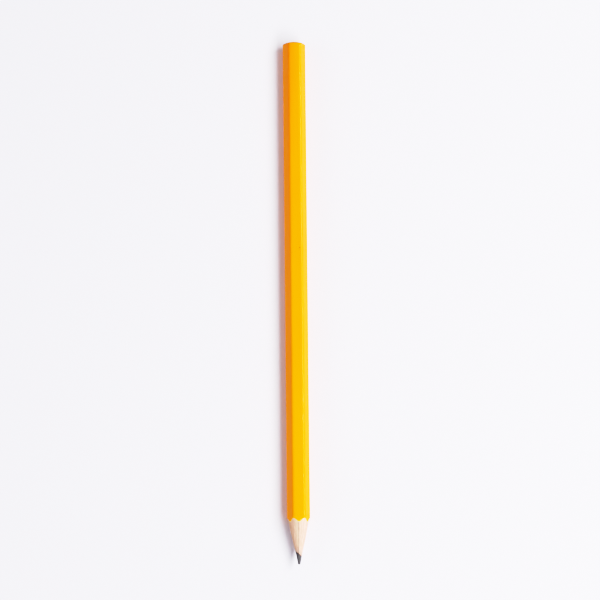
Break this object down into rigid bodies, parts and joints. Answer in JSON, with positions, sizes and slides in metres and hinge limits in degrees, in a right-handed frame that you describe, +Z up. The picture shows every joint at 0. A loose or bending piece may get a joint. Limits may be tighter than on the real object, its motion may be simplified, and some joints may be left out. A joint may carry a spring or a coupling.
{
  "type": "graphite pencil",
  "caption": "Hexagonal wood-cased graphite pencil with a lacquered barrel, a sharpened conical point and a domed, dipped plain end.",
  "frame": {"origin": "middle of the flat that the pencil lies on, at mid-length", "axes": "+Y along the barrel from the point to the plain end, +Z up, square to the flat it lies on, +X towards the right long edge"},
  "size_m": [0.0078, 0.18, 0.007],
  "materials": {
    "graphite": "satin",
    "glue": "matte",
    "left_wood": "matte",
    "right_wood": "matte",
    "primer": "matte",
    "yellow_lacquer": "gloss",
    "clear_lacquer": "gloss",
    "dip_lacquer": "gloss"
  },
  "bodies": {
    "root": {"graphite_core": "graphite", "core_bond_glue": "glue", "left_slat": "left_wood", "right_slat": "right_wood", "upper_glue_line": "glue", "lower_glue_line": "glue", "primer_coat": "primer", "colour_coat": "yellow_lacquer", "clear_coat": "clear_lacquer", "end_dip": "dip_lacquer"}
  },
  "joints": []
}
